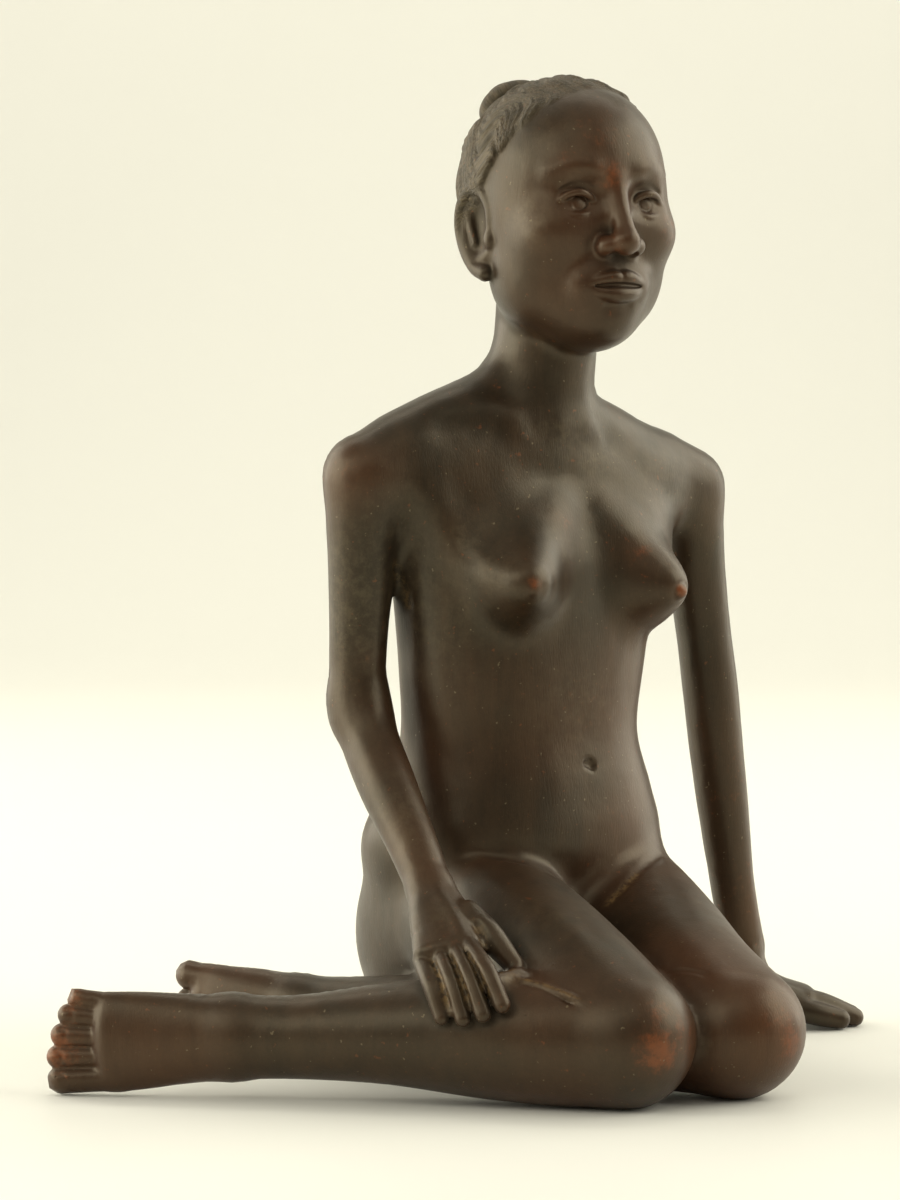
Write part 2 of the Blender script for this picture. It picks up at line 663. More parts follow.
def toes(body, row, root, way):
    """Toes stacked edge up at the end of a foot, each with a knuckle and a nail."""
    way = unit(np.array([*way, 0.0]))
    outward = np.cross(way, UP)
    if outward[1] > 0:
        outward = -outward
    for height, radius, reach in row:
        start = np.array([*root, height * TOE_ROOT_SHARE + TOE_ROOT_LIFT])
        end = np.array([*root, height]) + way * (reach - radius)
        middle = 0.5 * (start + end)
        path = [(*start, radius), (*middle, 0.94 * radius), (*end, radius)]
        body.join(Limb(path, UP), 0.7)
        nail = end + outward * radius * NAIL_PLACE
        tip = nail + way * radius * NAIL_LENGTH
        half = np.array(UP) * radius * NAIL_HALF
        bow = way * NAIL_BOW
        nail_root = [nail - half, nail - half * 0.6 - bow, nail + half * 0.6 - bow, nail + half]
        body.carve(nail_root, *NAIL_ROOT_LINE, 0)
        for up in BOTH:
            body.carve([nail + up * half, tip + up * half * 0.7], *NAIL_SIDE_LINE, 0)


def along_finger(finger, share):
    """A point on the line of a finger: 0 at its root, 0.5 at its bend and 1 at its tip."""
    root, bend, tip = np.array(finger[:3])
    if share < 0.5:
        return root + 2 * share * (bend - root)
    return bend + (2 * share - 1) * (tip - bend)


def finger_grooves():
    """The lines between neighbouring fingers, on the back of the right hand."""
    out = np.array(BACK_OF_HAND)
    grooves = []
    for one, other in zip(FINGERS_RIGHT, FINGERS_RIGHT[1:]):
        radius = 0.5 * (one[3] + other[3])
        path = [0.5 * (np.array(a) + b) + out * 0.45 * radius for a, b in zip(one[:3], other[:3])]
        grooves.append(path)
    return grooves


def right_hand(body):
    wrist, knuckles = np.array(WRIST_RIGHT, float), np.array(KNUCKLES_RIGHT, float)
    middle = 0.5 * (wrist + knuckles)
    palm = [(*wrist, 5.7, 5), (*middle, 7.8, 4.6), (*knuckles, 9.6, 4.2)]
    body.join(Limb(palm, ACROSS_RIGHT_HAND), 2)
    under = -1.3 * np.array(BACK_OF_HAND)
    filled = []
    for share, width in ((0, 7.4), (0.5, 7), (0.85, 5.6)):
        place = np.mean([along_finger(finger, share) for finger in FINGERS_RIGHT], axis=0)
        filled.append((*(place + under), width, 2.1))
    body.join(Limb(filled, ACROSS_RIGHT_HAND), 0.8)
    web = [(*WEB[0], 2.2), (*WEB[1], 2)]
    body.join(Limb(web, UP), 2.5)
    for root, bend, tip, radius in FINGERS_RIGHT:
        body.join(Limb([(*root, radius), (*bend, radius), (*tip, 0.85 * radius)], UP), 0.6)
    body.join(Limb(THUMB_RIGHT, UP), 1.2)


def left_hand(body):
    across, along = unit(np.array(ACROSS_LEFT_HAND)), unit(np.array(ALONG_LEFT_HAND))
    body.join(Limb(PALM_LEFT, across), 2.5)
    for offset, reach, radius in FINGERS_LEFT:
        root = np.array(KNUCKLES_LEFT) + across * offset
        tip = root + along * (reach - radius)
        tip[2] = radius - 0.2
        bend = root + 0.45 * (tip - root)
        bend[2] += 0.4
        path = [(*root, 3.8, radius), (*bend, 3.5, radius), (*tip, 2.6, radius)]
        body.join(Limb(path, UP), 0.6)
    body.join(Limb(THUMB_LEFT, UP), 1.2)


# Lines that the knife left on the body. The fold is between the right thigh and its calf.
FOLD = [
    (-44.6, -72.1, 29.8),
    (-41.5, -72.6, 31),
    (-38.8, -76.5, 30.6),
    (-37.2, -80, 29.6),
    (-35.4, -84, 28.4),
    (-33.4, -88.8, 26.6),
]
GROIN_LEFT = [
    (33, -33.4, 53.2),
    (28.6, -36.2, 52.4),
    (21.4, -39.4, 50.4),
    (13.7, -42, 46.8),
    (6.4, -42.2, 41.4),
]
GROIN_RIGHT = [
    (-25, -27, 57.2),
    (-20, -31, 56.2),
    (-15.5, -35, 55),
    (-10, -39, 52.6),
    (-3, -43, 48),
    (3.6, -46, 42.4),
]
THUMB_GROOVE = [(-44, -57.4, 45), (-44.2, -62.6, 39.6), (-43.2, -67, 34.6), (-42.6, -70.6, 31)]
KNEE_LINE = [(-1.5, -77.7, 30.3), (0.8, -81, 31.2), (2.6, -86.7, 31), (3, -90.4, 29.8)]
NAVEL = [(6.6, -34, 77.9), (8.4, -34, 77), (10.5, -33.9, 75.9)]
NAVEL_TOP = [(9.4, -33.9, 78.6), (8.6, -34, 77)]
COLLAR_HOLLOW_RIGHT = [(-30, -15, 163.6), (-18, -20.6, 162.4), (-6, -24.2, 161)]
COLLAR_HOLLOW_LEFT = [(14, -26, 163), (24, -24, 156.6), (36, -23, 150.6)]
THROAT = [(-4.5, -24.6, 162), (0.6, -25.4, 162.6), (5, -25.4, 162.4)]
COLLAR_BONE_RIGHT = [(-17, -12.6, 172.6), (-11.4, -20.4, 167.2), (-3, -24.4, 163.4)]
COLLAR_BONE_LEFT = [(12, -25.5, 165), (22, -24.4, 157.3)]
HAND_SINEW = [(-48.4, -44.6, 53.4), (-48.2, -54.6, 46.2), (-50, -64, 40.4)]
HAND_HOLLOW = [(-51.5, -46, 52), (-51.4, -55, 45), (-52.2, -61, 40.6)]
FINGER_GROOVES = finger_grooves()
ARMPIT_CUTS = [
    [(-36, -11.4, 128.8), (-33, -9.6, 125), (-31.4, -10, 120)],
    [(-33.6, -10.6, 124), (-31.2, -10.2, 120), (-30.4, -11.2, 115.6)],
]
# Path, width and depth of each. A negative depth is a ridge.
CREASES = [
    (FOLD, 0.8, -0.8),
    ([(x, y, z - 1.9) for x, y, z in FOLD], 1.1, 1),
    ([(x + 1, y, z + 1.6) for x, y, z in FOLD[1:]], 0.7, 0.5),
    (GROIN_LEFT, 1.1, 0.9),
    (GROIN_RIGHT, 1.4, 1),
    (THUMB_GROOVE, 1.2, 1.3),
    (KNEE_LINE, 0.6, 0.7),
    (NAVEL, 0.9, 1.5),
    (NAVEL_TOP, 0.8, 0.8),
    (COLLAR_HOLLOW_RIGHT, 3.2, 1.1),
    (COLLAR_HOLLOW_LEFT, 3.4, 0.7),
    (THROAT, 4, 0.7),
    (COLLAR_BONE_RIGHT, 3, -0.35),
    (COLLAR_BONE_LEFT, 2.4, -0.7),
    (HAND_SINEW, 1.8, -0.6),
    (HAND_HOLLOW, 1.8, 0.5),
]
CREASES += [(path, 0.8, 0.8) for path in FINGER_GROOVES]
CREASES += [(path, 1, 0.6) for path in ARMPIT_CUTS]
# Lines of raw wood that the oil didn't darken: path, width, strength.
BARE = [(FOLD, 0.55, 0.7), (GROIN_LEFT[2:], 0.9, 0.8), (THUMB_GROOVE, 1.1, 0.7), (WEB, 2, 0.5)]
BARE += [(path, 1, 0.6) for path in FINGER_GROOVES]
BARE += [(path, 1.1, 0.55) for path in ARMPIT_CUTS]


def breasts(body):
    for path in BREAST_EDGES:
        body.join(Limb(path, UP), 6)
    for root, tip in BREASTS:
        root, tip = np.array(root, float), np.array(tip, float)
        last = len(BREAST_RADII) - 1
        path = [(*(root + (tip - root) * i / last), r) for i, r in enumerate(BREAST_RADII)]
        body.join(Limb(path, UP), 8)
        full = tip + BREAST_FULL_SHARE * (root - tip) - (0, 0, BREAST_DROP)
        body.join(Ball(full, BREAST_FULL_SIZE), 7)
        out = unit(tip - root)
        nipple = tip + out * (BREAST_RADII[-1] + NIPPLE_RISE)
        body.join(Ball(nipple, NIPPLE_RADIUS), 0.8)
        side = unit(np.cross(out, UP))
        around = ring(nipple - RING_BEHIND * out, RING_RADIUS, side, np.cross(side, out))
        body.carve(around, RING_WIDTH, RING_DEPTH, 0)


def woman():
    body = Form()
    body.join(Trunk(TORSO, TORSO_SQUARENESS))
    body.join(Limb(SHOULDERS, UP), 12)
    body.join(Limb(TRAPEZIUS_RIGHT, UP), 8)
    body.join(Trunk(NECK), 6)
    for centre, half_sizes in SEAT:
        body.join(Ball(centre, half_sizes), 8)
    body.carve(CLEFT, 3, 4.2, 0.2)
    body.carve(SPINE, 5, 2)
    body.join(Ball(*HIP_RIGHT), 8)
    breasts(body)
    body.join(Limb(UPPER_ARM_RIGHT, FORWARD_SIDE), 6)
    body.join(Limb(ARM_LEFT, FORWARD_SIDE), 6)
    body.join(Limb(THIGH_LEFT, THIGH_LEFT_TILT), 7)
    body.join(Limb(THIGH_RIGHT, SIDEWAYS), 4)
    body.join(Limb(LOWER_LEG_LEFT, UP), 3)
    body.join(Limb(LOWER_LEG_RIGHT, UP), 3)
    body.join(Limb(FOREARM_RIGHT, FORWARD_SIDE), 5)
    body.join(Limb(FOOT_RIGHT, UP), 3)
    body.join(Limb(FOOT_LEFT, UP), 3)
    toes(body, TOES_RIGHT, TOE_ROOT_RIGHT, TOE_WAY_RIGHT)
    toes(body, TOES_LEFT, TOE_ROOT_LEFT, TOE_WAY_LEFT)
    right_hand(body)
    left_hand(body)
    body.join(woman_head(), 3)
    for path, width, depth in CREASES:
        body.carve(path, width, depth)
    return body


# Places on the body that need the small cells, and the medium ones: centre and radius.
SMALL_ZONES = [
    ((-14.6, -41, 122.6), 4.5),
    ((32.5, -40, 120.4), 4.5),
    ((-51, -65, 33), 16),
    ((-38, -79, 30), 9),
    ((7.6, -34.5, 76.6), 4.5),
    ((1.5, -82, 30), 6),
    ((104, -14, 5), 13),
    ((-120, 6, 14), 10),
    ((-68, 37, 12), 10),
]
MEDIUM_ZONES = [
    ((-15, -40, 123), 8),
    ((34, -40, 120), 8),
    ((-35, -84, 28), 11),
    ((1.5, -82, 30), 10),
    ((6, -46, 46), 9),
    ((18, -44, 51), 9),
    ((28, -39, 53), 8),
    ((-2, -43, 48), 8),
    ((-12, -38, 53), 8),
    ((-20, -31, 56), 8),
    ((-33, -11, 122), 9),
    ((-45, -40, 46), 16),
    ((90, -8, 10), 16),
    ((-105, -5, 14), 16),
    ((-60, 24, 14), 14),
    ((12.8, -20, 215), 41),
]
# Half sizes of the face round its middle, in the head's frame, and the reach of the ears.
FACE_MIDDLE, FACE_REACH = (0, -25, -9), (19, 12, 19)
EAR_MIDDLE, EAR_REACH = (24.8, 3, -7), (5, 9, 14)
# The eyes and the lips, on her left half; both halves have the same.
FINE_PLACES = [((9.8, -22.5, -1.7), (7.8, 5.2, 5.2)), ((0, -24.5, -22), (11.8, 5.4, 5.6))]
# The cover of hair from which a place counts as hair.
LEAST_COVER = 0.05


def on_ground(form, points):
    """The form's distance, with the underside cut flat by the ground."""
    return -soft_min(-form.distance(points), points[:, 2], GROUND_EDGE)


def wanted_size(centres):
    """The size of cell that each place needs."""
    size = np.full(len(centres), PLAIN_SIZE)
    for zones, cell in ((MEDIUM_ZONES, MEDIUM_SIZE), (SMALL_ZONES, SMALL_SIZE)):
        for centre, radius in zones:
            inside = np.linalg.norm(centres - centre, axis=1) < radius
            size[inside] = np.minimum(size[inside], cell)
    local = (centres - HEAD_CENTRE) @ turned(HEAD_TURN, -HEAD_LIFT).T
    face = np.linalg.norm((local - FACE_MIDDLE) / FACE_REACH, axis=1) < 1
    beside = np.abs(local * (1, 0, 0)) + local * (0, 1, 1)
    ears = np.linalg.norm((beside - EAR_MIDDLE) / EAR_REACH, axis=1) < 1
    head = np.linalg.norm(local - SKULL_CENTRE, axis=1) < HEAD_REACH
    hair = head & (CombedHair().cover(local) > LEAST_COVER)
    size[face | ears | hair] = SMALL_SIZE
    for middle, reach in FINE_PLACES:
        size[np.linalg.norm((beside - middle) / reach, axis=1) < 1] = FINE_SIZE
    return size


CORNERS = np.array([(i, j, k) for i in (0, 1) for j in (0, 1) for k in (0, 1)])
# The lattice of the smallest cells: how many it has along each edge, and how many of them
# are kept free before the first one.
SPAN, BEFORE = 4096, 8


def key(cells):
    """One whole number for a place in the lattice of the smallest cells."""
    cells = np.asarray(cells, np.int64) + BEFORE
    return (cells[..., 0] * SPAN + cells[..., 1]) * SPAN + cells[..., 2]


def leaf_cells(form, low, high):
    """The cells of each size that the surface passes, and those that are split for finer ones."""
    size = CELL_SIZES[0]
    count = np.ceil((high - low) / (size * CELL)).astype(int)
    cells = np.stack(np.meshgrid(*map(np.arange, count), indexing="ij"), -1).reshape(-1, 3) * size
    leaves, split = {}, {}
    for size in CELL_SIZES:
        centres = low + (cells + 0.5 * size) * CELL
        near = np.abs(on_ground(form, centres)) < NEARNESS * size * CELL
        cells, centres = cells[near], centres[near]
        done = wanted_size(centres) >= size
        leaves[size], split[size] = cells[done], np.sort(key(cells[~done]))
        cells = (cells[~done][:, None] + CORNERS[None] * (size // 2)).reshape(-1, 3)
    return {size: found for size, found in leaves.items() if len(found)}, split


def among(keys, wanted):
    """Where each wanted key stands in the sorted keys, or -1."""
    if not len(keys):
        return np.full(len(wanted), -1)
    at = np.minimum(np.searchsorted(keys, wanted), len(keys) - 1)
    return np.where(keys[at] == wanted, at, -1)


def surface(form, low, high):
    """Vertices and faces of the form's surface: one vertex a cell, one face a crossed edge."""
    leaves, split = leaf_cells(form, low, high)
    sizes = sorted(leaves)
    tables, count = {}, 0
    for size in sizes:
        tables[size] = (np.sort(key(leaves[size])), count)
        count += len(leaves[size])

    def leaf_at(size, cells):
        """The leaf that holds each cell of this size, or -1."""
        found = np.full(len(cells), -1)
        for larger in sizes:
            if larger >= size:
                keys, first = tables[larger]
                at = among(keys, key(cells // larger * larger))
                found = np.where((found < 0) & (at >= 0), at + first, found)
        return found

    total, hits, faces = np.zeros((count, 3)), np.zeros(count), []
    for size in sizes:
        corners = (leaves[size][:, None] + CORNERS[None] * size).reshape(-1, 3)
        keys, first = np.unique(key(corners), return_index=True)
        corners = corners[first]
        value = on_ground(form, low + corners * CELL)
        for axis in range(3):
            step = np.zeros(3, int)
            step[axis] = size
            u, v = np.roll(step, 1), np.roll(step, 2)
            at = among(keys, key(corners + step))
            crossed = (at >= 0) & ((value < 0) != (value[at] < 0))
            start, a, b = corners[crossed], value[crossed], value[at[crossed]]
            around = [start - u - v, start - v, start, start - u]
            whole = np.ones(len(start), bool)
            for cells in around:
                whole &= among(split[size], key(cells)) < 0
            start, a, b = start[whole], a[whole], b[whole]
            quads = np.stack([leaf_at(size, cells[whole]) for cells in around], 1)
            known = (quads >= 0).all(1)
            quads, start, a, b = quads[known], start[known], a[known], b[known]
            place = low + (start + (a / (a - b))[:, None] * step) * CELL
            for column in range(4):
                np.add.at(total, quads[:, column], place)
                np.add.at(hits, quads[:, column], 1)
            inward = a > 0
            quads[inward] = quads[inward][:, ::-1]
            faces.append(quads)
    used = hits > 0
    number = np.cumsum(used) - 1
    return total[used] / hits[used, None], number[np.vstack(faces)]


TETRA = np.array([(1, 1, 1), (1, -1, -1), (-1, 1, -1), (-1, -1, 1)], float)


def slope(form, points):
    """The distance at the points, and its gradient."""
    value, gradient = np.zeros(len(points)), np.zeros_like(points)
    for corner in TETRA:
        there = on_ground(form, points + corner * PROBE)
        value += 0.25 * there
        gradient += 0.25 * there[:, None] * corner / PROBE
    return value, gradient


def settle(form, points):
    """The points moved onto the surface, with its normals there."""
    for _ in range(SNAP_ROUNDS):
        value, gradient = slope(form, points)
        steepness = np.maximum((gradient**2).sum(1), LEAST_SLOPE)[:, None]
        step = value[:, None] * gradient / steepness
        length = np.linalg.norm(step, axis=1, keepdims=True)
        points = points - step * np.minimum(1, SNAP_STEP / np.maximum(length, 1e-9))
    gradient = slope(form, points)[1]
    return points, gradient / np.maximum(np.linalg.norm(gradient, axis=1, keepdims=True), 1e-9)


def tidy_faces(quads):
    """Faces without repeated corners: quads, and triangles beside cells of another size."""
    same = quads == np.roll(quads, -1, axis=1)
    plain = quads[~same.any(1)]
    folded, where = quads[same.sum(1) == 1], np.argmax(same[same.sum(1) == 1], axis=1)
    columns = (where[:, None] + np.array([[1, 2, 3]])) % 4
    return plain.tolist() + np.take_along_axis(folded, columns, 1).tolist()


# The piece in Blender

# Lowest corner of the CAD solid in the frame that she is modelled in.
SOLID_LOW = (-123.76, -105.44, 0)

# Places that hands and cloths have rubbed to a red brown: centre, radius, strength.
WORN = [
    ((-22, -102, 16), 7, 0.8),
    ((-20, -100.2, 25), 6, 0.5),
    ((-16, -102, 19), 10, 0.45),
    ((16, -104.6, 15), 6, 0.7),
    ((13.6, -105, 22), 8, 0.5),
    ((-14.8, -42.2, 123.4), 2.4, 0.8),
    ((-11, -39, 125), 2.4, 0.6),
    ((32.1, -42.5, 120.7), 2.6, 0.9),
    ((24, -34.6, 130), 5, 0.5),
    ((2, -31, 138), 4.5, 0.4),
    ((7.2, -45.3, 224.6), 5.5, 0.62),
    ((5, -43.6, 236), 9, 0.4),
    ((-4, -40, 229), 4, 0.4),
    ((26, -40, 211.2), 6, 0.6),
    ((5.6, -48, 207), 3.6, 0.4),
    ((-124, 6, 12), 8, 0.8),
    ((-120, 6, 24), 5, 0.7),
    ((-52, -59, 41), 9, 0.3),
    ((66, -10, 142), 8, 0.5),
    ((-47, -12, 150), 8, 0.35),
    ((-42, -10, 105), 5, 0.35),
    ((-40, -8, 92), 5, 0.4),
    ((75, -12, 70), 22, 0.3),
    ((76, -10, 40), 16, 0.3),
    ((8, -33, 92), 14, 0.3),
    ((16, -34, 62), 9, 0.3),
    ((-60, -62, 22), 26, 0.12),
]

# Places with a pale bloom of dust and dried wax.
DUSTY = [
    ((-18, -33, 126), 4.5, 0.8),
    ((-23.5, -25, 134), 4.5, 0.5),
    ((0, -33, 132), 4.5, 0.6),
    ((16, -25, 156), 9, 0.5),
    ((6, -25, 160), 6, 0.4),
    ((40, -18, 148), 10, 0.5),
    ((36, -33, 46), 9, 0.5),
    ((-10, -38, 238), 9, 0.4),
    ((-11, -33, 214), 7, 0.5),
    ((21, -46, 226), 5, 0.3),
    ((-22, -60, 42), 12, 0.25),
    ((-51, -55, 44), 6, 0.3),
    ((-44, -12, 118), 26, 0.45),
    ((-45, -32, 66), 16, 0.35),
    ((8, -30, 90), 14, 0.3),
]


def rubbed_at(points, places):
    """How strongly each point shares in the wear of the places round it."""
    worn = np.zeros(len(points))
    for centre, radius, strength in places:
        far = np.linalg.norm(points - np.array(centre), axis=1) / radius
        worn = np.maximum(worn, strength * np.exp(-far * far))
    return worn


# How far out from the surface a groove is felt, and the fall from the knot that is one length
# of the hair's pattern, in degrees.
HOLLOW_REACH = 3.5
COMB_LENGTH = 60
# The largest gap in the mesh that is closed, in edges.
PINHOLE_EDGES = 24
# Room round the figure in the lattice of cells, and under the ground.
ROOM_ROUND, ROOM_UNDER = 3, 2


def hollow_at(form, points, normals):
    """How closed in the surface is: 0 in the open, 1 deep in a groove."""
    open_air = on_ground(form, points + normals * HOLLOW_REACH) / HOLLOW_REACH
    return np.clip(1 - open_air, 0, 1)


def bare_at(points):
    """How much raw wood shows at each point."""
    bare = np.zeros(len(points))
    for path, width, strength in BARE:
        bare = np.maximum(bare, strength * Stroke(path, width, 1).strength(points))
    return bare


def combed_at(points):
    """The direction round the knot, the fall from it, and the cover, for points of the head."""
    local = (points - HEAD_CENTRE) @ turned(HEAD_TURN, -HEAD_LIFT).T
    hair = CombedHair()
    around, fall = hair.swept(local)
    near = np.linalg.norm(local - SKULL_CENTRE, axis=1) < HEAD_REACH
    combed = np.stack([np.cos(around), np.sin(around), fall / COMB_LENGTH], 1)
    return combed, hair.cover(local) * near


def add_attribute(mesh, name, values):
    layer = mesh.attributes.new(name, "FLOAT", "POINT")
    layer.data.foreach_set("value", np.asarray(values, np.float32))


def close_pinholes(mesh):
    """Covers the few small gaps where a crease is finer than the cells."""
    shape = bmesh.new()
    shape.from_mesh(mesh)
    rims = [edge for edge in shape.edges if edge.is_boundary]
    bmesh.ops.holes_fill(shape, edges=rims, sides=PINHOLE_EDGES)
    shape.to_mesh(mesh)
    shape.free()
    mesh.update()


def carved_figure():
    """The figure as one fine mesh, placed on the CAD solid, in metres."""
    body = woman()
    low, high = body.low - ROOM_ROUND, body.high + ROOM_ROUND
    low[2] = -ROOM_UNDER
    points, faces = surface(body, low, high)
    points, normals = settle(body, points)
    mesh = bpy.data.meshes.new("carved_figure")
    offset = np.array(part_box("figure")[0]) - np.array(SOLID_LOW) * MM
    mesh.from_pydata((points * MM + offset).tolist(), [], tidy_faces(faces))
    mesh.polygons.foreach_set("use_smooth", np.ones(len(mesh.polygons), bool))
    add_attribute(mesh, "worn", rubbed_at(points, WORN))
    add_attribute(mesh, "dusty", rubbed_at(points, DUSTY))
    add_attribute(mesh, "hollow", hollow_at(body, points, normals))
    add_attribute(mesh, "bare", bare_at(points))
    combed, cover = combed_at(points)
    add_attribute(mesh, "hair", cover)
    layer = mesh.attributes.new("combed", "FLOAT_VECTOR", "POINT")
    layer.data.foreach_set("vector", combed.astype(np.float32).ravel())
    close_pinholes(mesh)
    piece = bpy.data.objects.new("carved_figure", mesh)
    bpy.context.scene.collection.objects.link(piece)
    return piece


class Tree:
    """A short way to write a material's nodes."""

    def __init__(self, name):
        self.material = bpy.data.materials.new(name)
        self.material.use_nodes = True
        self.nodes = self.material.node_tree.nodes
        self.links = self.material.node_tree.links
        self.shader = self.nodes["Principled BSDF"]

    def put(self, socket, value):
        if isinstance(value, bpy.types.NodeSocket):
            self.links.new(value, socket)
        else:
            socket.default_value = value

    def node(self, kind, inputs=(), **settings):
        made = self.nodes.new(kind)
        for name, value in settings.items():
            setattr(made, name, value)
        for name, value in dict(inputs).items():
            self.put(made.inputs[name], value)
        return made

    def noise(self, place, scale, detail=3.0, roughness=0.55, distortion=0.0):
        inputs = {"Vector": place, "Scale": scale, "Detail": detail, "Roughness": roughness}
        inputs["Distortion"] = distortion
        return self.node("ShaderNodeTexNoise", inputs).outputs["Fac"]

    def stretch(self, place, scale):
        return self.node("ShaderNodeMapping", {"Vector": place, "Scale": scale}).outputs["Vector"]

    def ramp(self, value, low, high):
        """0 below the low value, 1 above the high one, and eased between them."""
        inputs = {"Value": value, "From Min": low, "From Max": high}
        return self.node("ShaderNodeMapRange", inputs, interpolation_type="SMOOTHSTEP").outputs["Result"]

    def plus(self, a, b):
        return self.node("ShaderNodeMath", {0: a, 1: b}, operation="ADD").outputs["Value"]

    def times(self, a, b):
        return self.node("ShaderNodeMath", {0: a, 1: b}, operation="MULTIPLY").outputs["Value"]

    def mix(self, share, a, b):
        """Colour a, with this share of colour b over it."""
        made = self.node("ShaderNodeMix", data_type="RGBA")
        self.put(made.inputs[0], share)
        self.put(made.inputs[6], a)
        self.put(made.inputs[7], b)
        return made.outputs[2]

    def attribute(self, name):
        return self.node("ShaderNodeAttribute", attribute_name=name).outputs["Fac"]

    def bump(self, height, distance, under=None):
        inputs = {"Height": height, "Distance": distance, "Strength": 1.0}
        if under is not None:
            inputs["Normal"] = under
        return self.node("ShaderNodeBump", inputs).outputs["Normal"]


# Colours of the wood, from the oiled grain to what lies on it.
DEEP_BROWN = (0.014, 0.009, 0.005, 1)
WARM_BROWN = (0.037, 0.0205, 0.0105, 1)
RUST = (0.15, 0.042, 0.013, 1)
DUST = (0.16, 0.125, 0.075, 1)
RAW_WOOD = (0.25, 0.155, 0.062, 1)
SHADE = (0.012, 0.009, 0.006, 1)
POLISH_TINT = (1, 0.9, 0.68, 1)
# Patterns on the body: waves to the metre, detail and roughness, and for the grain its warp.
GRAIN = (160, 5, 0.6, 0.4)
CLOUDS = (38, 4, 0.6)
PATCHES = (11, 2)
MOTTLE = (1100, 3, 0.8)
SCUFFS = (420, 5, 0.75)
BLOOM = (320, 5, 0.75)
RAW_FLECKS = (750, 3, 0.7)
PALE_SPECKS = (900, 1, 0.5)
RUST_FLECKS = (520, 2, 0.6)
GLOSS = (90, 3, 0.6)
PORES = (2300, 2, 0.6)
KNIFE_WAVES = (62, 2, 0.5)
# The same for the hair, where the waves are counted in the frame of its locks.
STRAND_LINES = (40, 3, 0.65)
LOCK_GAPS = (11, 2, 0.6)
# The grain and the pores are drawn out along the height.
GRAIN_DRAWN, PORES_DRAWN = (1, 1, 0.12), (1, 1, 0.16)
# Shares of the three patterns in the brown, and of each layer that lies over it.
GRAIN_SHARE, CLOUD_SHARE, MOTTLE_SHARE = 0.4, 0.4, 0.2
RED_SHARE, DUST_SHARE, STRAND_SHARE, GAP_SHARE = 0.22, 0.5, 0.5, 0.6
HOLLOW_SHARE, SPECK_SHARE, FLECK_SHARE = 0.6, 0.6, 0.5
SCUFF_STRENGTH, WORN_STRENGTH = 1.4, 0.25
# Roughness of the rubbed wood, and what the gloss, the grooves and the hair add to it.
RUBBED_ROUGHNESS, GLOSS_ROUGHNESS, HOLLOW_ROUGHNESS, HAIR_ROUGHNESS = 0.31, 0.16, 0.2, 0.12
# Depths of the knife's waves, the pores and the strands, in metres.
KNIFE_DEPTH, PORE_DEPTH, STRAND_DEPTH = 0.0005, 0.000013, 0.00022


